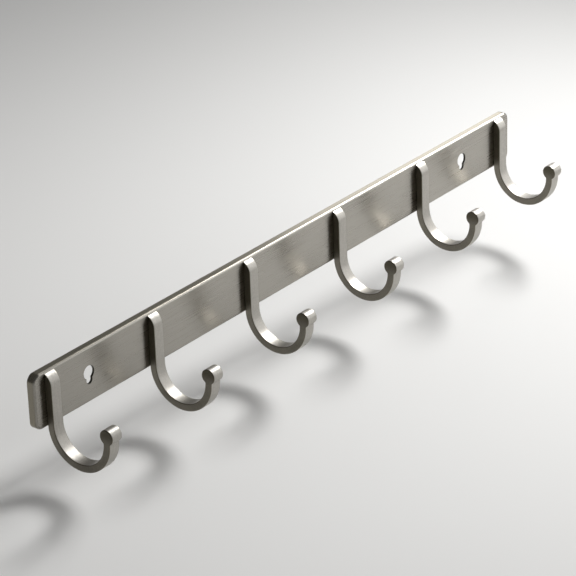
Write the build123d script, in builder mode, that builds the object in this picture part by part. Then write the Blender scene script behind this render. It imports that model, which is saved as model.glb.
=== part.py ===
"""Wall rail with six towel hooks.

The rail is a shallow tray of sheet steel that is hung on two wall screws by keyholes near its ends.
Six cast J hooks stand in a row on its front, each held from behind by two small screws.

Frame: the wall is the plane Y = 0 and the front faces -Y. X runs along the rail and Z is up.
The origin is the middle of the rail on the wall plane. All sizes are in millimetres.
"""
import os
from math import sqrt

from build123d import *

# Row of hooks
hook_count = 6
hook_pitch = 85.0

# Tray, which runs past the middle of the first and last hook by the overhang
tray_overhang = 12.5
tray_height = 33.0
tray_depth = 5.0
sheet = 1.2
corner_radius = 5.0
bend_radius = 1.4

# Keyholes, each measured from the outer hook beside it, with the round entry above the slot
left_keyhole_inset = 31.0
right_keyhole_inset = 40.0
entry_diameter = 8.0
slot_width = 4.2
keyhole_drop = 4.6
edge_break = 0.4

# One hook: a strip of even thickness that ends in a round bead
hook_width = 8.0
hook_thickness = 4.4
hook_outer_radius = 22.0
hook_top_margin = 1.4
hook_nose_height = 7.0
bead_radius = 4.5
bead_rise = 4.4
neck_radius = 0.8
hook_edge_radius = 0.5

# Pan head screws that hold a hook from behind
screw_diameter = 3.0
screw_length = 4.0
screw_spacing = 16.0
head_diameter = 5.6
head_height = 2.2
head_round = 1.1
recess_span = 3.2
recess_width = 0.8
recess_depth = 1.2
clearance_radial = 0.2
thread_gap = 0.05
tip_gap = 0.5

# Worked out from the sizes above
row_length = hook_pitch * (hook_count - 1)
tray_length = row_length + 2 * tray_overhang
front_y = -tray_depth
inner_y = front_y + sheet
hook_root_z = -(tray_height / 2 - bend_radius)
hook_top_z = tray_height / 2 - hook_top_margin
hook_front_y = front_y - hook_thickness
arc_centre_y = front_y - hook_outer_radius
hook_inner_radius = hook_outer_radius - hook_thickness
tip_y = front_y - 2 * hook_outer_radius
bead_y = tip_y + hook_thickness / 2
bead_z = hook_root_z + bead_rise
neck_z = bead_z - sqrt(bead_radius**2 - (hook_thickness / 2) ** 2)
nose_z = hook_top_z - hook_nose_height
nose_radius = (hook_thickness**2 + hook_nose_height**2) / (2 * hook_thickness)
screw_mid_z = (nose_z + hook_root_z) / 2
screw_rows = (screw_mid_z - screw_spacing / 2, screw_mid_z + screw_spacing / 2)
entry_z = (keyhole_drop + slot_width / 2 - entry_diameter / 2) / 2
slot_end_z = entry_z - keyhole_drop
left_keyhole_x = left_keyhole_inset - row_length / 2
right_keyhole_x = row_length / 2 - right_keyhole_inset


def hook_positions():
    """X of each hook, evenly spaced about the middle of the rail."""
    return [hook_pitch * i - row_length / 2 for i in range(hook_count)]


def screw_positions():
    """(X, Z) of every screw, one above the other behind each hook."""
    return [(x, z) for x in hook_positions() for z in screw_rows]


def seen_from_wall(x, y, z):
    """A plane that faces the wall, for holes and screws that enter from behind."""
    return Plane(origin=(x, y, z), x_dir=(-1, 0, 0), z_dir=(0, 1, 0))


def make_tray():
    """Sheet metal tray: a face with rounded corners and a lip turned back all round."""
    with BuildPart() as tray:
        with BuildSketch(Plane.XZ):
            RectangleRounded(tray_length, tray_height, corner_radius)
        extrude(amount=tray_depth)
        front = tray.faces().sort_by(Axis.Y)[0]
        fillet(front.edges(), radius=bend_radius)
        back = tray.faces().sort_by(Axis.Y)[-1]
        offset(amount=-sheet, openings=back)

        # Keyholes
        with BuildSketch(Plane.XZ.offset(tray_depth)):
            with Locations((left_keyhole_x, 0), (right_keyhole_x, 0)):
                with Locations((0, entry_z)):
                    Circle(entry_diameter / 2)
                with Locations((0, slot_end_z)):
                    Circle(slot_width / 2)
                with Locations((0, (entry_z + slot_end_z) / 2)):
                    Rectangle(slot_width, keyhole_drop)
        extrude(amount=-sheet, mode=Mode.SUBTRACT)
        front = tray.faces().filter_by(Plane.XZ).sort_by(Axis.Y)[0]
        fillet(front.inner_wires().edges(), radius=edge_break)

        # Clearance holes for the screws of the hooks
        with BuildSketch(Plane.XZ.offset(tray_depth)):
            with Locations(*screw_positions()):
                Circle(screw_diameter / 2 + clearance_radial)
        extrude(amount=-sheet, mode=Mode.SUBTRACT)
    tray.part.label = "wall_tray"
    return tray.part


def make_hook(x, label):
    """J hook of one cast piece: flat back, rolled top, round sweep and a beaded tip."""
    with BuildPart() as hook:
        with BuildSketch(Plane.YZ.offset(x)):
            with BuildLine():
                Line((front_y, hook_root_z), (front_y, hook_top_z))
                RadiusArc((front_y, hook_top_z), (hook_front_y, nose_z), -nose_radius)
                Line((hook_front_y, nose_z), (hook_front_y, hook_root_z))
                ThreePointArc(
                    (hook_front_y, hook_root_z),
                    (arc_centre_y, hook_root_z - hook_inner_radius),
                    (tip_y + hook_thickness, hook_root_z),
                )
                Line((tip_y + hook_thickness, hook_root_z), (tip_y + hook_thickness, bead_z))
                Line((tip_y + hook_thickness, bead_z), (tip_y, bead_z))
                Line((tip_y, bead_z), (tip_y, hook_root_z))
                ThreePointArc(
                    (tip_y, hook_root_z),
                    (arc_centre_y, hook_root_z - hook_outer_radius),
                    (front_y, hook_root_z),
                )
            make_face()
            with Locations((bead_y, bead_z)):
                Circle(bead_radius)
        extrude(amount=hook_width / 2, both=True)

        # Soften the necks under the bead, then both outlines
        cross_edges = hook.edges().filter_by(Axis.X)
        necks = sorted(cross_edges, key=lambda edge: abs(edge.center().Z - neck_z))[:2]
        fillet(necks, radius=neck_radius)
        sides = hook.faces().filter_by(Axis.X)
        fillet(sides.edges(), radius=hook_edge_radius)

        # Threaded holes in the back
        with Locations(*[seen_from_wall(x, front_y, z) for z in screw_rows]):
            Hole(screw_diameter / 2 + thread_gap, depth=screw_length - sheet + tip_gap)
    hook.part.label = label
    return hook.part


def make_screws():
    """All pan head screws, each with its head on the inside of the tray."""
    with BuildPart() as screw:
        with BuildSketch(Plane.XY):
            Circle(head_diameter / 2)
        extrude(amount=head_height)
        fillet(screw.edges().sort_by(Axis.Z)[-1], radius=head_round)
        with BuildSketch(Plane.XY.offset(head_height)):
            Rectangle(recess_span, recess_width)
            Rectangle(recess_width, recess_span)
        extrude(amount=-recess_depth, mode=Mode.SUBTRACT)
        with BuildSketch(Plane.XY):
            Circle(screw_diameter / 2)
        extrude(amount=-screw_length)
    with BuildPart() as screws:
        with Locations(*[seen_from_wall(x, inner_y, z) for x, z in screw_positions()]):
            add(screw.part)
    screws.part.label = "hook_screws"
    return screws.part


os.makedirs("parts", exist_ok=True)
export_step(make_tray(), "parts/wall_tray.step")
for number, hook_x in enumerate(hook_positions(), start=1):
    name = f"hook_{number}"
    export_step(make_hook(hook_x, name), f"parts/{name}.step")
export_step(make_screws(), "parts/hook_screws.step")
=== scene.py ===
"""A wall rail with six towel hooks: smooth shapes, brushed steel, cross-head screws and a pale studio.

The wall is the plane Y = 0, the front faces -Y, X runs along the rail and Z is up, in metres.
"""
import math

import bmesh
import bpy
from bpy.props import FloatProperty, FloatVectorProperty, IntProperty, PointerProperty
from mathutils import Matrix, Quaternion, Vector


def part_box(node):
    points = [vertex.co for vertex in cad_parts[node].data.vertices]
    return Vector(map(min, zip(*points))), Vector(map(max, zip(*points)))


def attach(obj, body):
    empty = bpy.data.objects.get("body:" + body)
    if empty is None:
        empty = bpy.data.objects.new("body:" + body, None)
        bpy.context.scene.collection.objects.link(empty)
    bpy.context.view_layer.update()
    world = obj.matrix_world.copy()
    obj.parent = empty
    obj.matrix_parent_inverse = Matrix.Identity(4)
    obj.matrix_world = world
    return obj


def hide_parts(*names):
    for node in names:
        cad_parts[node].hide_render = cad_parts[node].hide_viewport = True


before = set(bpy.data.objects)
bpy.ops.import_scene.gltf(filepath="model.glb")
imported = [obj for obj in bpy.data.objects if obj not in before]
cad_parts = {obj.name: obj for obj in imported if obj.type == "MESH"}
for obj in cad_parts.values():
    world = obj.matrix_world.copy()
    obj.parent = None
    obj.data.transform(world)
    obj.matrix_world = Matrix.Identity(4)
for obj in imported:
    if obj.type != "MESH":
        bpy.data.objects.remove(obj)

bl_info = {
    "name": "Towel Hook Rail",
    "version": (1, 0, 0),
    "blender": (4, 5, 0),
    "location": "View3D > Sidebar > Hook Rail",
    "description": "Brushed steel rail with six J hooks, its screws and a pale studio",
    "category": "Object",
}

MM = 0.001
HOOKS = [f"hook_{number}" for number in range(1, 7)]

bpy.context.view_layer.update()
TRAY_LOW, TRAY_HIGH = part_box("wall_tray")
SCREWS_LOW, SCREWS_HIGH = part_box("hook_screws")


def middle_x(node):
    """Middle of a node along the rail."""
    low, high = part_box(node)
    return (low.x + high.x) / 2


HOOK_PITCH = (middle_x(HOOKS[-1]) - middle_x(HOOKS[0])) / (len(HOOKS) - 1)
HEAD_DIAMETER = SCREWS_HIGH.x - SCREWS_LOW.x - HOOK_PITCH * (len(HOOKS) - 1)
SCREW_SPACING = SCREWS_HIGH.z - SCREWS_LOW.z - HEAD_DIAMETER
HOOK_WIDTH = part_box(HOOKS[0])[1].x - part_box(HOOKS[0])[0].x
SCREW_MIDDLE = (SCREWS_HIGH.z + SCREWS_LOW.z) / 2
BEAD_Z = -10.7 * MM

# Keyholes, each measured from the outer hook beside it
LEFT_KEYHOLE_INSET = 31 * MM
RIGHT_KEYHOLE_INSET = 40 * MM
KEYHOLES_X = (middle_x(HOOKS[0]) + LEFT_KEYHOLE_INSET, middle_x(HOOKS[-1]) - RIGHT_KEYHOLE_INSET)
KEYHOLE_FLARE = 0.4 * MM
LIP_ROUND = 0.2 * MM

# Blind holes in the back of a hook
BLIND_HOLE_DIAMETER = 3.1 * MM
BLIND_HOLE_DEPTH = 3.3 * MM
DRILL_CLEAR = 1 * MM
DRILL_SEGMENTS = 40

# Limits used on the meshes and on the masks of the finishes
SAME_PLACE = 0.001 * MM
MERGE_DISTANCE = 0.002 * MM
MASK_MARGIN = 0.02 * MM
SHARP_ANGLE = math.radians(38)

# Sockets that share a name are found by their place on the node
MIX_A, MIX_B, MIX_RESULT = 6, 7, 2
RANDOM_HIGH, RANDOM_VALUE = 3, 1


def steel_colour(default):
    """A colour setting for a steel finish."""
    return FloatVectorProperty(
        name="Steel colour",
        description="Colour that the metal reflects face on",
        subtype="COLOR",
        size=3,
        min=0.0,
        max=1.0,
        default=default,
    )


def paper_colour(name, description, default):
    """A colour setting for the floor."""
    return FloatVectorProperty(
        name=name, description=description, subtype="COLOR", size=3, min=0.0, max=1.0, default=default
    )


def share(name, description, default):
    """A setting from 0 to 1."""
    return FloatProperty(
        name=name, description=description, subtype="FACTOR", min=0.0, max=1.0, default=default
    )


def length(name, description, default):
    """A length setting in metres."""
    return FloatProperty(
        name=name,
        description=description,
        subtype="DISTANCE",
        unit="LENGTH",
        min=0.0,
        precision=5,
        default=default,
    )


class TraySettings(bpy.types.PropertyGroup):
    """Shape and brushed steel of the pressed tray"""

    sheet: length("Sheet", "Thickness of the sheet steel", 1.2 * MM)
    corner_radius: length("Corner radius", "Radius of the tray's corners seen from the front", 5 * MM)
    bend_radius: length("Bend radius", "Outer radius of the bend round the front face", 1.4 * MM)
    entry_diameter: length("Entry diameter", "Diameter of a keyhole's round entry", 8 * MM)
    slot_width: length("Slot width", "Width of a keyhole's slot", 4.2 * MM)
    slot_drop: length("Slot drop", "How far a keyhole's slot runs below its entry", 4.6 * MM)
    clearance: length("Clearance hole", "Diameter of the holes for the hook screws", 3.4 * MM)

    colour: steel_colour((0.33, 0.314, 0.283))
    # Painted shade: the rim and everything behind the front's bend are painted darker than the front
    rim_painted_shade: share("Rim shade", "How bright the rim and the cut edges are against the front", 0.8)
    # Painted shade: the cut edges of the keyholes are painted nearly black
    cut_painted_shade: share("Cut shade", "How bright the cut edges of the keyholes are against the front", 0.12)
    roughness: share("Roughness", "How far the sheet blurs what it reflects", 0.29)
    brushing: share("Brushing", "How much wider the blur is across the brush lines", 0.75)
    line_length: length("Line length", "Length of one brush line along the rail", 40 * MM)
    line_width: length("Line width", "Width of one brush line", 0.3 * MM)
    line_depth: length("Line depth", "Depth of the brush lines", 0.0003 * MM)


class HookSettings(bpy.types.PropertyGroup):
    """Shape and satin steel of the J hooks"""

    thickness: length("Strip thickness", "Thickness of the strip", 4.4 * MM)
    outer_radius: length("Outer radius", "Outer radius of the sweep", 22 * MM)
    nose_height: length("Nose height", "Height of the rolled nose at the top", 7 * MM)
    bead_radius: length("Bead radius", "Radius of the bead at the tip", 4.5 * MM)
    neck_radius: length("Neck radius", "Radius of the hollow under the bead", 0.8 * MM)
    edge_radius: length("Edge radius", "Softening of both outlines", 0.5 * MM)

    colour: steel_colour((0.44, 0.422, 0.388))
    # Painted shade: the flat sides are painted darker and warmer than the strip
    side_painted_shade: share("Side shade", "How bright the flat sides are against the strip", 0.46)
    # Painted shade: the sides are painted darker still where they stand beside the tray, in place of the
    # shade between hook and tray
    corner_painted_shade: share("Corner shade", "How bright the sides stay where they stand beside the tray", 0.5)
    # Painted shade: the softened edges are painted darker than the strip
    edge_painted_shade: share("Edge shade", "How bright the softened edges are against the strip", 0.6)
    roughness: share("Roughness", "How far the hooks blur what they reflect", 0.44)
    brushing: share("Brushing", "How much wider the blur is across the brush lines", 0.25)
    line_length: length("Line length", "Length of one brush line along the strip", 12 * MM)
    line_width: length("Line width", "Width of one brush line", 0.25 * MM)
    line_depth: length("Line depth", "Depth of the brush lines", 0.0015 * MM)


class ScrewSizes(bpy.types.PropertyGroup):
    """Pan head screws that hold each hook from inside the tray"""

    colour: steel_colour((0.62, 0.62, 0.63))
    roughness: share("Roughness", "How far the plating blurs what it reflects", 0.28)
    shank_diameter: length("Shank diameter", "Diameter over the thread", 3.0 * MM)
    shank_length: length("Shank length", "Length under the head", 4.0 * MM)
    thread_pitch: length("Thread pitch", "Rise of the thread in one turn", 0.5 * MM)
    thread_depth: length("Thread depth", "Depth of the thread", 0.28 * MM)
    head_diameter: length("Head diameter", "Diameter of the pan head", HEAD_DIAMETER)
    head_height: length("Head height", "Height of the pan head", 2.2 * MM)
    recess_span: length("Recess span", "Length of each arm of the cross recess", 3.2 * MM)
    recess_width: length("Recess width", "Width of each arm of the cross recess", 0.8 * MM)
    recess_depth: length("Recess depth", "Depth of the cross recess", 1.2 * MM)
    seed: IntProperty(name="Seed", description="Picks how each screw is turned", default=4)


class StudioSettings(bpy.types.PropertyGroup):
    """Pale floor and the camera over it"""

    # Painted shade: the floor is painted darker from the front left towards the back right
    near_colour: paper_colour("Near colour", "Colour of the floor at the front left", (0.90, 0.896, 0.882))
    far_colour: paper_colour("Far colour", "Colour of the floor at the back right", (0.41, 0.408, 0.402))
    floor_drop: length("Floor drop", "Distance from the rail's middle down to the floor", 54.8 * MM)
    floor_rise: share("Floor rise", "Slope of the floor towards the back", 0.162)
    floor_rise_reach: length("Rise reach", "Distance at which the rise levels out", 150 * MM)
    floor_lean: share("Floor lean", "Slope of the floor down to the right", 0.04)
    floor_lean_reach: length("Lean reach", "Distance at which the lean levels out", 500 * MM)
    lens: FloatProperty(name="Lens", description="Focal length in millimetres", unit="CAMERA", default=181.52)
    aim_distance: length("Camera distance", "Distance from the camera to its aim", 1.7084)


def add_node(tree, kind, settings=None, **inputs):
    """Adds a node, with its settings and the plain values of its inputs."""
    node = tree.nodes.new(kind)
    for name, value in (settings or {}).items():
        setattr(node, name, value)
    for name, value in inputs.items():
        node.inputs[name.replace("_", " ")].default_value = value
    return node


def link(tree, source, target):
    """Joins an output to an input."""
    tree.links.new(source, target)


def calculate(tree, operation, *values):
    """Adds a Math node and returns its result. A value is a number or an output."""
    node = add_node(tree, "ShaderNodeMath", {"operation": operation})
    for socket, value in zip(node.inputs, values):
        if isinstance(value, (int, float)):
            socket.default_value = value
        else:
            link(tree, value, socket)
    return node.outputs[0]


def new_material(name, colour, roughness):
    """A metal with the given colour and roughness: its tree and its shader."""
    material = bpy.data.materials.new(name)
    material.use_nodes = True
    material.diffuse_color = (*colour, 1.0)
    tree = material.node_tree
    shader = tree.nodes["Principled BSDF"]
    shader.inputs["Base Color"].default_value = (*colour, 1.0)
    shader.inputs["Metallic"].default_value = 1.0
    shader.inputs["Roughness"].default_value = roughness
    return material, tree, shader


def stretched_noise(tree, place, cell, detail, grain):
    """Noise whose cells have the given size along X, Y and Z."""
    mapping = add_node(tree, "ShaderNodeMapping", Scale=[1 / size for size in cell])
    link(tree, place, mapping.inputs["Vector"])
    noise = add_node(tree, "ShaderNodeTexNoise", Scale=1.0, Detail=detail, Roughness=grain)
    link(tree, mapping.outputs["Vector"], noise.inputs["Vector"])
    return noise.outputs["Fac"]


def spread(tree, value, low, high):
    """Maps the middle of a noise to the range from low to high."""
    node = add_node(tree, "ShaderNodeMapRange", From_Min=0.3, From_Max=0.7, To_Min=low, To_Max=high)
    link(tree, value, node.inputs["Value"])
    return node.outputs["Result"]


def tint(tree, factor, colour, dark, light):
    """The colour, made darker or lighter by a factor from 0 to 1."""
    mix = add_node(tree, "ShaderNodeMix", {"data_type": "RGBA"})
    link(tree, factor, mix.inputs[0])
    mix.inputs[MIX_A].default_value = (*[part * dark for part in colour], 1.0)
    mix.inputs[MIX_B].default_value = (*[min(part * light, 1.0) for part in colour], 1.0)
    return mix.outputs[MIX_RESULT]


def ramp(tree, value, low, high):
    """0 below the low value, 1 above the high value."""
    smooth = {"interpolation_type": "SMOOTHSTEP"}
    node = add_node(tree, "ShaderNodeMapRange", smooth, From_Min=low, From_Max=high)
    link(tree, value, node.inputs["Value"])
    return node.outputs["Result"]


def with_painted_shade(tree, colour, where, shade):
    """The colour with painted shade: made darker and a little warmer by the shade where the mask is 1."""
    mix = add_node(tree, "ShaderNodeMix", {"data_type": "RGBA", "blend_type": "MULTIPLY"})
    link(tree, where, mix.inputs[0])
    link(tree, colour, mix.inputs[MIX_A])
    more_red, less_blue = 1.03, 0.9
    mix.inputs[MIX_B].default_value = (shade * more_red, shade, shade * less_blue, 1.0)
    return mix.outputs[MIX_RESULT]


def blended(tree, first, first_part, second, second_part):
    """Two noises added up, each by its part."""
    kept = calculate(tree, "MULTIPLY", first, first_part)
    return calculate(tree, "ADD", kept, calculate(tree, "MULTIPLY", second, second_part))


def coordinates(tree, place):
    """The X, Y and Z of a place."""
    node = add_node(tree, "ShaderNodeSeparateXYZ")
    link(tree, place, node.inputs[0])
    return node.outputs


def brush_direction(tree, shader, brushing, turn):
    """Stretches the gloss: tangent along X, turned by a share of a full turn."""
    tangent = add_node(tree, "ShaderNodeCombineXYZ", X=1.0)
    link(tree, tangent.outputs[0], shader.inputs["Tangent"])
    shader.inputs["Anisotropic"].default_value = brushing
    shader.inputs["Anisotropic Rotation"].default_value = turn


def brushed(tree, shader, finish, shade, relief, uneven, turn):
    """Uneven roughness, fine relief and gloss stretched along the brush lines."""
    blur = spread(tree, shade, finish.roughness - uneven, finish.roughness + uneven)
    link(tree, blur, shader.inputs["Roughness"])
    bump = add_node(tree, "ShaderNodeBump", Strength=1.0, Distance=finish.line_depth)
    link(tree, relief, bump.inputs["Height"])
    link(tree, bump.outputs["Normal"], shader.inputs["Normal"])
    brush_direction(tree, shader, finish.brushing, turn)


def tray_steel(finish):
    """Sheet steel with brush lines along the rail, and painted shade on the rim and on the keyhole edges."""
    colour = tuple(finish.colour)
    material, tree, shader = new_material("tray_brushed_steel", colour, finish.roughness)
    place = add_node(tree, "ShaderNodeTexCoord").outputs["Object"]
    line_cell = (finish.line_length, finish.line_width, finish.line_width)
    lines = stretched_noise(tree, place, line_cell, detail=4.0, grain=0.65)
    cloud_cell = (60 * MM, 9 * MM, 9 * MM)
    clouds = stretched_noise(tree, place, cloud_cell, detail=2.0, grain=0.5)
    shade = blended(tree, lines, 0.8, clouds, 0.2)
    bright = tint(tree, spread(tree, shade, 0.0, 1.0), colour, dark=0.93, light=1.06)

    x, y, z = coordinates(tree, place)
    front, half_sheet, near_hole = TRAY_LOW.y, finish.sheet / 2, finish.entry_diameter
    # Painted shade: the bend, the lips and the inside behind the front are painted darker
    rim_start = front + 0.1 * MM
    rim = ramp(tree, y, rim_start, front + finish.bend_radius)
    rim_painted_dark = with_painted_shade(tree, bright, rim, finish.rim_painted_shade)
    # Painted shade: the walls of the keyholes, within the sheet, are painted nearly black
    beside = [calculate(tree, "COMPARE", x, keyhole, near_hole) for keyhole in KEYHOLES_X]
    level = calculate(tree, "COMPARE", z, 0.0, near_hole)
    within = calculate(tree, "COMPARE", y, front + half_sheet, half_sheet - MASK_MARGIN)
    at_edge = calculate(tree, "MULTIPLY", level, within)
    cut = calculate(tree, "MULTIPLY", calculate(tree, "ADD", *beside), at_edge)
    link(tree, with_painted_shade(tree, rim_painted_dark, cut, finish.cut_painted_shade), shader.inputs["Base Color"])
    brushed(tree, shader, finish, shade, relief=lines, uneven=0.04, turn=0.25)
    return material


def hook_steel(finish):
    """Satin steel with fine lines along the strip, a soft grain, and painted shade on the sides, on the sides
    beside the tray and on the edges.
    """
    colour = tuple(finish.colour)
    material, tree, shader = new_material("hook_satin_steel", colour, finish.roughness)
    place = add_node(tree, "ShaderNodeTexCoord").outputs["Object"]
    line_cell = (finish.line_width, finish.line_length, finish.line_length)
    lines = stretched_noise(tree, place, line_cell, detail=3.0, grain=0.6)
    grain_size = 0.9 * MM
    grain = stretched_noise(tree, place, [grain_size] * 3, detail=3.0, grain=0.7)
    shade = blended(tree, lines, 0.5, grain, 0.5)
    bright = tint(tree, spread(tree, shade, 0.0, 1.0), colour, dark=0.76, light=1.2)

    x, _, z = coordinates(tree, place)
    from_first = calculate(tree, "SUBTRACT", x, middle_x(HOOKS[0]))
    from_nearest = calculate(tree, "WRAP", from_first, HOOK_PITCH / 2, -HOOK_PITCH / 2)
    aside = calculate(tree, "ABSOLUTE", from_nearest)
    half_width, half_edge = HOOK_WIDTH / 2, finish.edge_radius / 2
    # Painted shade: the flat sides of every hook are painted darker
    side = ramp(tree, aside, half_width - finish.edge_radius, half_width)
    sides_painted_dark = with_painted_shade(tree, bright, side, finish.side_painted_shade)
    # Painted shade: darker sides from the tray's bottom edge upwards, where the hook stands beside the tray
    corner_fade = 8 * MM
    beside_tray = ramp(tree, z, TRAY_LOW.z, TRAY_LOW.z + corner_fade)
    corner = calculate(tree, "MULTIPLY", side, beside_tray)
    corners_painted_dark = with_painted_shade(tree, sides_painted_dark, corner, finish.corner_painted_shade)
    # Painted shade: the rounded edges between the sides and the strip are painted darker
    edge = calculate(tree, "COMPARE", aside, half_width - half_edge, half_edge - MASK_MARGIN)
    link(tree, with_painted_shade(tree, corners_painted_dark, edge, finish.edge_painted_shade), shader.inputs["Base Color"])
    brushed(tree, shader, finish, shade, relief=shade, uneven=0.05, turn=0.0)
    return material


def screw_steel(sizes):
    """Zinc plated steel, a little mottled."""
    colour = tuple(sizes.colour)
    material, tree, shader = new_material("screw_zinc_plate", colour, sizes.roughness)
    place = add_node(tree, "ShaderNodeTexCoord").outputs["Object"]
    mottle_size = 0.8 * MM
    mottle = stretched_noise(tree, place, [mottle_size] * 3, detail=3.0, grain=0.55)
    bright = tint(tree, spread(tree, mottle, 0.0, 1.0), colour, dark=0.85, light=1.05)
    link(tree, bright, shader.inputs["Base Color"])
    smoother, rougher = sizes.roughness - 0.06, sizes.roughness + 0.1
    link(tree, spread(tree, mottle, smoother, rougher), shader.inputs["Roughness"])
    return material


def arc(centre, radius, start, end, steps):
    """Points on an arc between two angles in degrees."""
    angles = [math.radians(start + (end - start) * step / steps) for step in range(steps + 1)]
    return [(centre[0] + radius * math.cos(turn), centre[1] + radius * math.sin(turn)) for turn in angles]


def tidy_outline(points):
    """An outline without points that repeat."""
    kept = []
    for point in points:
        if not kept or math.dist(point, kept[-1]) > SAME_PLACE:
            kept.append(point)
    if math.dist(kept[0], kept[-1]) < SAME_PLACE:
        kept.pop()
    return kept


def inward(points):
    """Mitred inward step at each corner of an outline that runs anticlockwise."""
    steps = []
    for index, point in enumerate(points):
        before = Vector(point) - Vector(points[index - 1])
        after = Vector(points[(index + 1) % len(points)]) - Vector(point)
        first = Vector((-before.y, before.x)).normalized()
        second = Vector((-after.y, after.x)).normalized()
        steps.append((first + second) / (1 + first.dot(second)))
    return steps


def ring_solid(name, outline, levels, place):
    """A closed mesh of rings, each level an inset and a depth. Place turns u, v and depth into X, Y, Z."""
    steps = inward(outline)
    rings = bmesh.new()
    rows = []
    for inset, depth in levels:
        row = []
        for point, step in zip(outline, steps):
            u, v = Vector(point) + step * inset
            row.append(rings.verts.new(place(u, v, depth)))
        rows.append(row)
    count = len(outline)
    for row, following in zip(rows, rows[1:]):
        for index in range(count):
            after = (index + 1) % count
            rings.faces.new((row[index], row[after], following[after], following[index]))
    rings.faces.new(rows[0])
    rings.faces.new(rows[-1])
    bmesh.ops.recalc_face_normals(rings, faces=rings.faces)
    mesh = bpy.data.meshes.new(name)
    rings.to_mesh(mesh)
    rings.free()
    return new_piece(name, mesh)


def drawn_from_front(u, v, depth):
    """Places an outline that is drawn in X and Z."""
    return (u, depth, v)


def drawn_from_side(u, v, depth):
    """Places an outline that is drawn in Y and Z."""
    return (depth, u, v)


def new_piece(name, mesh):
    """An object at the origin that shows the mesh."""
    piece = bpy.data.objects.new(name, mesh)
    bpy.context.scene.collection.objects.link(piece)
    return piece


def rounding(radius, steps):
    """(inset, rise) along a quarter round, from the flat of a face out to its side."""
    turns = [math.pi / 2 * (1 - step / steps) for step in range(steps + 1)]
    return [(radius * (1 - math.cos(turn)), radius * math.sin(turn)) for turn in turns]


def bake_modifiers(piece):
    """Turns a piece and its modifiers into a plain mesh."""
    ready = piece.evaluated_get(bpy.context.evaluated_depsgraph_get())
    mesh = bpy.data.meshes.new_from_object(ready)
    piece.modifiers.clear()
    piece.data = mesh


def drill(piece, cutters):
    """Takes the cutters out of the piece."""
    for cutter in cutters:
        modifier = piece.modifiers.new("drill", "BOOLEAN")
        modifier.operation = "DIFFERENCE"
        modifier.solver = "EXACT"
        modifier.object = cutter
    bake_modifiers(piece)
    for cutter in cutters:
        bpy.data.objects.remove(cutter)


def smooth_by_angle(piece):
    """Merges doubles, and shades the piece smooth with sharp corners and even flats."""
    merged = bmesh.new()
    merged.from_mesh(piece.data)
    bmesh.ops.remove_doubles(merged, verts=merged.verts, dist=MERGE_DISTANCE)
    merged.to_mesh(piece.data)
    merged.free()
    piece.data.shade_smooth()
    piece.data.set_sharp_from_angle(angle=SHARP_ANGLE)
    flats = piece.modifiers.new("flats", "WEIGHTED_NORMAL")
    flats.keep_sharp = True
    flats.weight = 100
    bake_modifiers(piece)


def drill_bit(x, z, diameter, near, far):
    """A round cutter that runs along Y between two depths."""
    bit = bmesh.new()
    turned = Matrix.Translation((x, (near + far) / 2, z)) @ Matrix.Rotation(math.pi / 2, 4, "X")
    bmesh.ops.create_cone(
        bit,
        cap_ends=True,
        segments=DRILL_SEGMENTS,
        radius1=diameter / 2,
        radius2=diameter / 2,
        depth=abs(far - near),
        matrix=turned,
    )
    mesh = bpy.data.meshes.new("drill_bit")
    bit.to_mesh(mesh)
    bit.free()
    return new_piece("drill_bit", mesh)


def screw_rows():
    """Z of the lower and the upper row of screws."""
    return (SCREW_MIDDLE - SCREW_SPACING / 2, SCREW_MIDDLE + SCREW_SPACING / 2)


def keyhole_punch(settings, x, front):
    """A punch for one keyhole, flared a little where it meets the front face."""
    entry, slot, drop = settings.entry_diameter / 2, settings.slot_width / 2, settings.slot_drop
    top = (drop + slot - entry) / 2
    opening = math.degrees(math.asin(slot / entry))
    outline = arc((x, top), entry, opening - 90, 270 - opening, steps=40)
    outline += arc((x, top - drop), slot, 180, 360, steps=20)
    flare = KEYHOLE_FLARE
    levels = [(0.0, front + 2 * settings.sheet)]
    levels += [(-inset, front + flare - rise) for inset, rise in reversed(rounding(flare, steps=4))]
    levels.append((-flare, front - flare))
    return ring_solid("keyhole_punch", tidy_outline(outline), levels, drawn_from_front)


def pressed_tray(settings):
    """A shallow tray of sheet steel with a rounded rim, keyholes and holes for the hook screws."""
    corner, sheet = settings.corner_radius, settings.sheet
    half_x, half_z = TRAY_HIGH.x, TRAY_HIGH.z
    outline = []
    for turn, (side_x, side_z) in enumerate(((1, 1), (-1, 1), (-1, -1), (1, -1))):
        centre = (side_x * (half_x - corner), side_z * (half_z - corner))
        outline += arc(centre, corner, 90 * turn, 90 * turn + 90, steps=16)
    front, bend, lip = TRAY_LOW.y, settings.bend_radius, LIP_ROUND
    inner_bend = reversed(rounding(bend - sheet, steps=3))
    outside = [(inset, front + bend - rise) for inset, rise in rounding(bend, steps=8)]
    rim = [(inset, rise - lip) for inset, rise in reversed(rounding(lip, steps=3))]
    rim += [(sheet - inset, rise - lip) for inset, rise in rounding(lip, steps=3)]
    inside = [(sheet + inset, front + bend - rise) for inset, rise in inner_bend]
    tray = ring_solid("pressed_tray", tidy_outline(outline), outside + rim + inside, drawn_from_front)
    cutters = [keyhole_punch(settings, x, front) for x in KEYHOLES_X]
    near, far = front - sheet, front + 2 * sheet
    for name in HOOKS:
        for z in screw_rows():
            cutters.append(drill_bit(middle_x(name), z, settings.clearance, near, far))
    drill(tray, cutters)
    smooth_by_angle(tray)
    return tray


class MakeTray(bpy.types.Operator):
    """Makes the pressed tray and gives it its brushed sheet steel"""

    bl_idname = "hook_rail.make_tray"
    bl_label = "Make Tray"

    def execute(self, context):
        settings = context.scene.rail_tray
        tray = pressed_tray(settings)
        tray.data.materials.clear()
        tray.data.materials.append(tray_steel(settings))
        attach(tray, "root")
        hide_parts("wall_tray")
        return {"FINISHED"}


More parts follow.
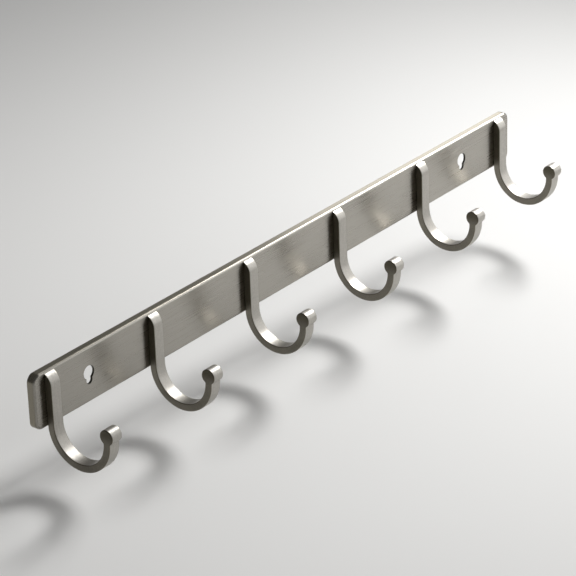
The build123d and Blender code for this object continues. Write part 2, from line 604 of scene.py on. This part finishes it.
def hook_outline(settings):
    """Side view of a J hook: flat back, rolled nose, sweep and beaded tip, as Y and Z."""
    back, thickness, outer = TRAY_LOW.y, settings.thickness, settings.outer_radius
    low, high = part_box(HOOKS[0])
    root, crown, front = low.z + outer, high.z, back - thickness
    nose = settings.nose_height
    nose_radius = (thickness**2 + nose**2) / (2 * thickness)
    nose_start = 90 + math.degrees(math.asin((nose_radius - thickness) / nose_radius))
    sweep = (back - outer, root)
    bead_radius, neck = settings.bead_radius, settings.neck_radius
    bead = (back - 2 * outer + thickness / 2, BEAD_Z)
    aside = thickness / 2 + neck
    below = math.sqrt((bead_radius + neck) ** 2 - aside**2)
    lean = math.degrees(math.atan2(below, aside))
    outline = [(back, root)]
    outline += arc((front + nose_radius, crown - nose), nose_radius, nose_start, 180, steps=14)
    outline += arc(sweep, outer - thickness, 0, -180, steps=56)
    outline += arc((bead[0] + aside, bead[1] - below), neck, 180, 180 - lean, steps=5)
    outline += arc(bead, bead_radius, -lean, 180 + lean, steps=48)
    outline += arc((bead[0] - aside, bead[1] - below), neck, lean, 0, steps=5)
    outline += arc(sweep, outer, 180, 360, steps=64)
    return tidy_outline(outline)


def one_hook(settings):
    """One hook at the middle of the rail, with its two blind holes."""
    half, edge = HOOK_WIDTH / 2, settings.edge_radius
    side = [(inset, half - edge + rise) for inset, rise in rounding(edge, steps=5)]
    other_side = [(inset, -depth) for inset, depth in reversed(side)]
    hook = ring_solid("hook", hook_outline(settings), side + other_side, drawn_from_side)
    near, far = TRAY_LOW.y + DRILL_CLEAR, TRAY_LOW.y - BLIND_HOLE_DEPTH
    drill(hook, [drill_bit(0.0, z, BLIND_HOLE_DIAMETER, near, far) for z in screw_rows()])
    return hook


def hook_row_tree():
    """Geometry Nodes that set a hook out along the rail."""
    tree = bpy.data.node_groups.new("hook_row", "GeometryNodeTree")
    sockets = tree.interface
    sockets.new_socket("Geometry", in_out="INPUT", socket_type="NodeSocketGeometry")
    sockets.new_socket("Hook", in_out="INPUT", socket_type="NodeSocketObject")
    sockets.new_socket("Hook Count", in_out="INPUT", socket_type="NodeSocketInt")
    sockets.new_socket("Hook Pitch", in_out="INPUT", socket_type="NodeSocketFloat")
    sockets.new_socket("Material", in_out="INPUT", socket_type="NodeSocketMaterial")
    sockets.new_socket("Geometry", in_out="OUTPUT", socket_type="NodeSocketGeometry")
    sizes = add_node(tree, "NodeGroupInput").outputs
    gaps = calculate(tree, "SUBTRACT", sizes["Hook Count"], 1.0)
    reach = calculate(tree, "MULTIPLY", calculate(tree, "MULTIPLY", sizes["Hook Pitch"], gaps), -0.5)
    first = add_node(tree, "ShaderNodeCombineXYZ")
    link(tree, reach, first.inputs[0])
    gap = add_node(tree, "ShaderNodeCombineXYZ")
    link(tree, sizes["Hook Pitch"], gap.inputs[0])
    row = add_node(tree, "GeometryNodeMeshLine")
    link(tree, sizes["Hook Count"], row.inputs["Count"])
    link(tree, first.outputs[0], row.inputs["Start Location"])
    link(tree, gap.outputs[0], row.inputs["Offset"])
    hook = add_node(tree, "GeometryNodeObjectInfo")
    link(tree, sizes["Hook"], hook.inputs["Object"])
    placed = add_node(tree, "GeometryNodeInstanceOnPoints")
    link(tree, row.outputs["Mesh"], placed.inputs["Points"])
    link(tree, hook.outputs["Geometry"], placed.inputs["Instance"])
    close_tree(tree, placed.outputs[0], sizes["Material"])
    return tree


def close_tree(tree, geometry, material):
    """Ends a tree: real copies of what repeats, and their material."""
    real = add_node(tree, "GeometryNodeRealizeInstances")
    link(tree, geometry, real.inputs[0])
    coated = add_node(tree, "GeometryNodeSetMaterial")
    link(tree, real.outputs[0], coated.inputs["Geometry"])
    link(tree, material, coated.inputs["Material"])
    result = add_node(tree, "NodeGroupOutput")
    link(tree, coated.outputs[0], result.inputs[0])


def run_tree(name, tree, values):
    """Runs a tree with the given named inputs and returns its result as a plain mesh object."""
    piece = new_piece(name, bpy.data.meshes.new(name))
    modifier = piece.modifiers.new(name, "NODES")
    modifier.node_group = tree
    keys = {item.name: item.identifier for item in tree.interface.items_tree if item.in_out == "INPUT"}
    for label, value in values.items():
        modifier[keys[label]] = value
    bake_modifiers(piece)
    if not piece.data.polygons:
        raise RuntimeError(f"{name} came out empty")
    return piece


class MakeHooks(bpy.types.Operator):
    """Makes the row of J hooks and gives it its satin steel"""

    bl_idname = "hook_rail.make_hooks"
    bl_label = "Make Hooks"

    def execute(self, context):
        settings = context.scene.rail_hooks
        hook = one_hook(settings)
        values = {
            "Hook": hook,
            "Hook Count": len(HOOKS),
            "Hook Pitch": HOOK_PITCH,
            "Material": hook_steel(settings),
        }
        hooks = run_tree("j_hooks", hook_row_tree(), values)
        bpy.data.objects.remove(hook)
        smooth_by_angle(hooks)
        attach(hooks, "root")
        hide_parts(*HOOKS)
        return {"FINISHED"}


SCREW_INPUTS = (
    "Shank Diameter", "Shank Length", "Thread Pitch", "Thread Depth", "Head Diameter", "Head Height",
    "Recess Span", "Recess Width", "Recess Depth", "Hook Pitch", "Screw Spacing",
)


def wrapped_sheet(tree, around, along, radius_of, height_of):
    """A unit grid wrapped round the Z axis. The two functions give radius and height from its fields."""
    grid = add_node(tree, "GeometryNodeMeshGrid", Size_X=1.0, Size_Y=1.0)
    grid.inputs["Vertices X"].default_value = around + 1
    grid.inputs["Vertices Y"].default_value = along + 1
    place = add_node(tree, "ShaderNodeSeparateXYZ")
    link(tree, add_node(tree, "GeometryNodeInputPosition").outputs[0], place.inputs[0])
    turn = calculate(tree, "ADD", place.outputs["X"], 0.5)
    rise = calculate(tree, "ADD", place.outputs["Y"], 0.5)
    height = height_of(rise)
    radius = radius_of(turn, rise, height)
    angle = calculate(tree, "MULTIPLY", turn, 2 * math.pi)
    point = add_node(tree, "ShaderNodeCombineXYZ")
    link(tree, calculate(tree, "MULTIPLY", radius, calculate(tree, "COSINE", angle)), point.inputs[0])
    link(tree, calculate(tree, "MULTIPLY", radius, calculate(tree, "SINE", angle)), point.inputs[1])
    link(tree, height, point.inputs[2])
    moved = add_node(tree, "GeometryNodeSetPosition")
    link(tree, grid.outputs["Mesh"], moved.inputs["Geometry"])
    link(tree, point.outputs[0], moved.inputs["Position"])
    merged = add_node(tree, "GeometryNodeMergeByDistance", Distance=MERGE_DISTANCE)
    link(tree, moved.outputs[0], merged.inputs["Geometry"])
    return merged.outputs[0]


def threaded_shank(tree, sizes):
    """A shank whose radius follows a screw thread and closes at both ends."""
    run_in = 0.3 * MM
    tip_taper, head_taper = 14.0, 40.0

    def height_of(rise):
        whole = calculate(tree, "ADD", sizes["Shank Length"], run_in)
        return calculate(tree, "SUBTRACT", calculate(tree, "MULTIPLY", rise, whole), sizes["Shank Length"])

    def radius_of(turn, rise, height):
        turns = calculate(tree, "SUBTRACT", calculate(tree, "DIVIDE", height, sizes["Thread Pitch"]), turn)
        flank = calculate(tree, "PINGPONG", turns, 0.5)
        cut = calculate(tree, "MULTIPLY", calculate(tree, "MULTIPLY", flank, 2.0), sizes["Thread Depth"])
        radius = calculate(tree, "SUBTRACT", calculate(tree, "MULTIPLY", sizes["Shank Diameter"], 0.5), cut)
        from_tip = calculate(tree, "MULTIPLY", rise, tip_taper)
        from_head = calculate(tree, "MULTIPLY", calculate(tree, "SUBTRACT", 1.0, rise), head_taper)
        closing = calculate(tree, "MINIMUM", calculate(tree, "MINIMUM", from_tip, from_head), 1.0)
        return calculate(tree, "MULTIPLY", radius, calculate(tree, "POWER", closing, 0.5))

    around, along = 24, 60
    return wrapped_sheet(tree, around, along, radius_of, height_of)


def pan_head(tree, sizes):
    """A domed head that closes underneath and on top."""
    around, rings = 32, 10
    flat_top, full_side = 0.8, 0.55

    def bow(rise):
        past_base = calculate(tree, "SUBTRACT", rise, 1 / rings)
        up_dome = calculate(tree, "MULTIPLY", past_base, rings / (rings - 1))
        return calculate(tree, "MULTIPLY", calculate(tree, "MAXIMUM", up_dome, 0.0), math.pi / 2)

    def height_of(rise):
        lift = calculate(tree, "POWER", calculate(tree, "SINE", bow(rise)), flat_top)
        return calculate(tree, "MULTIPLY", lift, sizes["Head Height"])

    def radius_of(turn, rise, height):
        width = calculate(tree, "POWER", calculate(tree, "COSINE", bow(rise)), full_side)
        base = calculate(tree, "MINIMUM", calculate(tree, "MULTIPLY", rise, float(rings)), 1.0)
        reach = calculate(tree, "MULTIPLY", calculate(tree, "MULTIPLY", width, base), 0.5)
        return calculate(tree, "MULTIPLY", reach, sizes["Head Diameter"])

    return wrapped_sheet(tree, around, rings, radius_of, height_of)


def cut_arm(tree, head, sizes, turned):
    """Cuts one arm of the cross recess into the head."""
    size = add_node(tree, "ShaderNodeCombineXYZ")
    link(tree, sizes["Recess Span"], size.inputs[1 if turned else 0])
    link(tree, sizes["Recess Width"], size.inputs[0 if turned else 1])
    link(tree, calculate(tree, "MULTIPLY", sizes["Recess Depth"], 2.0), size.inputs[2])
    block = add_node(tree, "GeometryNodeMeshCube")
    link(tree, size.outputs[0], block.inputs["Size"])
    lift = add_node(tree, "ShaderNodeCombineXYZ")
    link(tree, sizes["Head Height"], lift.inputs[2])
    raised = add_node(tree, "GeometryNodeTransform")
    link(tree, block.outputs["Mesh"], raised.inputs["Geometry"])
    link(tree, lift.outputs[0], raised.inputs["Translation"])
    cut = add_node(tree, "GeometryNodeMeshBoolean", {"operation": "DIFFERENCE", "solver": "EXACT"})
    link(tree, head, cut.inputs["Mesh 1"])
    link(tree, raised.outputs[0], cut.inputs["Mesh 2"])
    return cut.outputs["Mesh"]


def screw_tree():
    """Geometry Nodes for the screws: one threaded screw, set out in two rows behind the hooks."""
    tree = bpy.data.node_groups.new("hook_screw_rows", "GeometryNodeTree")
    sockets = tree.interface
    sockets.new_socket("Geometry", in_out="INPUT", socket_type="NodeSocketGeometry")
    for name in SCREW_INPUTS:
        sockets.new_socket(name, in_out="INPUT", socket_type="NodeSocketFloat")
    sockets.new_socket("Hook Count", in_out="INPUT", socket_type="NodeSocketInt")
    sockets.new_socket("Seed", in_out="INPUT", socket_type="NodeSocketInt")
    sockets.new_socket("Middle", in_out="INPUT", socket_type="NodeSocketVector")
    sockets.new_socket("Material", in_out="INPUT", socket_type="NodeSocketMaterial")
    sockets.new_socket("Geometry", in_out="OUTPUT", socket_type="NodeSocketGeometry")
    sizes = add_node(tree, "NodeGroupInput").outputs

    head = pan_head(tree, sizes)
    for turned in (False, True):
        head = cut_arm(tree, head, sizes, turned)
    screw = add_node(tree, "GeometryNodeJoinGeometry")
    link(tree, threaded_shank(tree, sizes), screw.inputs[0])
    link(tree, head, screw.inputs[0])
    rows = add_node(tree, "GeometryNodeMeshGrid")
    rows.inputs["Vertices Y"].default_value = 2
    gaps = calculate(tree, "SUBTRACT", sizes["Hook Count"], 1.0)
    link(tree, calculate(tree, "MULTIPLY", sizes["Hook Pitch"], gaps), rows.inputs["Size X"])
    link(tree, sizes["Screw Spacing"], rows.inputs["Size Y"])
    link(tree, sizes["Hook Count"], rows.inputs["Vertices X"])
    turn = add_node(tree, "FunctionNodeRandomValue", {"data_type": "FLOAT"})
    turn.inputs[RANDOM_HIGH].default_value = math.pi
    link(tree, sizes["Seed"], turn.inputs["Seed"])
    spin = add_node(tree, "ShaderNodeCombineXYZ")
    link(tree, turn.outputs[RANDOM_VALUE], spin.inputs[2])
    placed = add_node(tree, "GeometryNodeInstanceOnPoints")
    link(tree, rows.outputs["Mesh"], placed.inputs["Points"])
    link(tree, screw.outputs[0], placed.inputs["Instance"])
    link(tree, spin.outputs[0], placed.inputs["Rotation"])
    stood = add_node(tree, "GeometryNodeTransform", Rotation=(-math.pi / 2, 0, 0))
    link(tree, placed.outputs[0], stood.inputs["Geometry"])
    link(tree, sizes["Middle"], stood.inputs["Translation"])
    close_tree(tree, stood.outputs[0], sizes["Material"])
    return tree


class MakeScrews(bpy.types.Operator):
    """Makes the threaded cross-head screws behind the hooks"""

    bl_idname = "hook_rail.make_screws"
    bl_label = "Make Screws"

    def execute(self, context):
        sizes = context.scene.rail_screws
        values = {
            name: getattr(sizes, name.lower().replace(" ", "_"))
            for name in SCREW_INPUTS
            if name not in ("Hook Pitch", "Screw Spacing")
        }
        values["Hook Pitch"] = HOOK_PITCH
        values["Screw Spacing"] = SCREW_SPACING
        values["Hook Count"] = len(HOOKS)
        values["Seed"] = sizes.seed
        values["Middle"] = (0.0, SCREWS_HIGH.y - sizes.head_height, SCREW_MIDDLE)
        values["Material"] = screw_steel(sizes)
        screws = run_tree("cross_head_screws", screw_tree(), values)
        smooth_by_angle(screws)
        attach(screws, "root")
        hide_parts("hook_screws")
        return {"FINISHED"}


def floor_height(settings, x, y):
    """Height of the paper floor, which rises gently towards the back and levels out far from the rail."""
    across, back = settings.floor_lean_reach, settings.floor_rise_reach
    lean = -settings.floor_lean * across * math.tanh(x / across)
    return lean + settings.floor_rise * back * math.tanh(y / back) - settings.floor_drop


def floor_lines():
    """Grid lines of the floor, close together near the rail."""
    reach, count = 4.0, 40
    steps = [step / count for step in range(-count, count + 1)]
    return [reach * step * abs(step) for step in steps]


def pale_floor(settings):
    """A wide sheet of pale paper below the rail."""
    lines = floor_lines()
    points = [(x, y, floor_height(settings, x, y)) for y in lines for x in lines]
    count = len(lines)
    corners = [row * count + column for row in range(count - 1) for column in range(count - 1)]
    faces = [(corner, corner + 1, corner + count + 1, corner + count) for corner in corners]
    mesh = bpy.data.meshes.new("floor")
    mesh.from_pydata(points, [], faces)
    mesh.shade_smooth()
    floor = new_piece("floor", mesh)
    mesh.materials.append(paper(settings))


def paper(settings):
    """Matt paper that goes from its near colour at the front left to its darker far colour at the back right:
    painted shade across the floor.
    """
    material = bpy.data.materials.new("pale_paper")
    material.use_nodes = True
    tree = material.node_tree
    shader = tree.nodes["Principled BSDF"]
    shader.inputs["Roughness"].default_value = 0.9
    shader.inputs["Specular IOR Level"].default_value = 0.1
    place = add_node(tree, "ShaderNodeTexCoord").outputs["Object"]
    away = add_node(tree, "ShaderNodeVectorMath", {"operation": "DOT_PRODUCT"})
    link(tree, place, away.inputs[0])
    to_back_right = (0.77, 0.63, 0.0)
    away.inputs[1].default_value = to_back_right
    # Painted shade: the paper fades darker towards the back right
    fade_start, fade_end = -0.4, 0.75
    mix = add_node(tree, "ShaderNodeMix", {"data_type": "RGBA"})
    link(tree, ramp(tree, away.outputs["Value"], fade_start, fade_end), mix.inputs[0])
    mix.inputs[MIX_A].default_value = (*settings.near_colour, 1.0)
    mix.inputs[MIX_B].default_value = (*settings.far_colour, 1.0)
    link(tree, mix.outputs[MIX_RESULT], shader.inputs["Base Color"])
    return material


def lamp_place(azimuth, elevation, distance):
    """A point round the rail: azimuth from +X towards +Y and elevation in degrees."""
    turn, rise = math.radians(azimuth), math.radians(elevation)
    direction = Vector((math.cos(rise) * math.cos(turn), math.cos(rise) * math.sin(turn), math.sin(rise)))
    return direction * distance


def soft_lamp(name, place, aim, size, power):
    """A round panel lamp that faces a point."""
    lamp = bpy.data.lights.new(name, "AREA")
    lamp.shape = "DISK"
    lamp.size = size
    lamp.energy = power
    panel = bpy.data.objects.new(name, lamp)
    bpy.context.scene.collection.objects.link(panel)
    panel.location = place
    panel.rotation_mode = "QUATERNION"
    panel.rotation_quaternion = (Vector(aim) - Vector(place)).to_track_quat("-Z", "Y")


def studio_camera(settings):
    """The camera, above and to the left of the rail."""
    data = bpy.data.cameras.new("camera")
    data.sensor_width = 36.0
    data.lens = settings.lens
    camera = bpy.data.objects.new("camera", data)
    bpy.context.scene.collection.objects.link(camera)
    bpy.context.scene.camera = camera
    aim = Vector((-6.24, -5.0, -17.28)) * MM
    azimuth, elevation, roll = (math.radians(angle) for angle in (-51.299, 25.526, -1.968))
    back = Vector((
        math.sin(azimuth) * math.cos(elevation),
        -math.cos(azimuth) * math.cos(elevation),
        math.sin(elevation),
    ))
    camera.location = aim + back * settings.aim_distance
    camera.rotation_mode = "QUATERNION"
    camera.rotation_quaternion = (-back).to_track_quat("-Z", "Y") @ Quaternion((0, 0, 1), roll)


class SetStage(bpy.types.Operator):
    """Sets up the pale floor, the soft lamps and the camera"""

    bl_idname = "hook_rail.set_stage"
    bl_label = "Set Stage"

    def execute(self, context):
        settings = context.scene.rail_studio
        pale_floor(settings)
        middle = (0.0, 0.0, 0.0)
        soft_lamp("key_lamp", lamp_place(-4.8, 34.9, 0.684), aim=(-0.30, 0.0, -0.05), size=0.2, power=3.7)
        soft_lamp("high_panel", lamp_place(0, 38, 2.6), aim=middle, size=1.2, power=38.5)
        soft_lamp("low_panel", lamp_place(-34, 12, 2.6), aim=middle, size=2.0, power=19.0)
        soft_lamp("rear_lamp", (0.62, 0.34, 0.26), aim=(0.1, 0.0, 0.0), size=0.3, power=0.4)
        world = bpy.data.worlds.new("studio")
        world.use_nodes = True
        background = world.node_tree.nodes["Background"]
        background.inputs["Color"].default_value = (1.0, 0.99, 0.975, 1.0)
        background.inputs["Strength"].default_value = 0.12
        context.scene.world = world
        studio_camera(settings)
        context.scene.view_settings.view_transform = "Standard"
        return {"FINISHED"}


class HookRailPanel(bpy.types.Panel):
    """Steps that finish the hook rail"""

    bl_idname = "VIEW3D_PT_hook_rail"
    bl_label = "Towel Hook Rail"
    bl_space_type = "VIEW_3D"
    bl_region_type = "UI"
    bl_category = "Hook Rail"

    def draw(self, context):
        for step, settings in STEPS:
            box = self.layout.box()
            box.operator(step.bl_idname)
            group = getattr(context.scene, settings)
            for name in type(group).__annotations__:
                box.prop(group, name)


STEPS = (
    (MakeTray, "rail_tray"),
    (MakeHooks, "rail_hooks"),
    (MakeScrews, "rail_screws"),
    (SetStage, "rail_studio"),
)
GROUPS = {
    "rail_tray": TraySettings,
    "rail_hooks": HookSettings,
    "rail_screws": ScrewSizes,
    "rail_studio": StudioSettings,
}


def register():
    """Adds the settings, the steps and their panel."""
    for name, group in GROUPS.items():
        bpy.utils.register_class(group)
        setattr(bpy.types.Scene, name, PointerProperty(type=group))
    for step, _ in STEPS:
        bpy.utils.register_class(step)
    bpy.utils.register_class(HookRailPanel)


def unregister():
    """Takes the panel, the steps and the settings away."""
    bpy.utils.unregister_class(HookRailPanel)
    for step, _ in reversed(STEPS):
        bpy.utils.unregister_class(step)
    for name, group in GROUPS.items():
        delattr(bpy.types.Scene, name)
        bpy.utils.unregister_class(group)


def main():
    """Runs the steps in order."""
    register()
    bpy.ops.hook_rail.make_tray()
    bpy.ops.hook_rail.make_hooks()
    bpy.ops.hook_rail.make_screws()
    bpy.ops.hook_rail.set_stage()


if __name__ == "__main__":
    main()
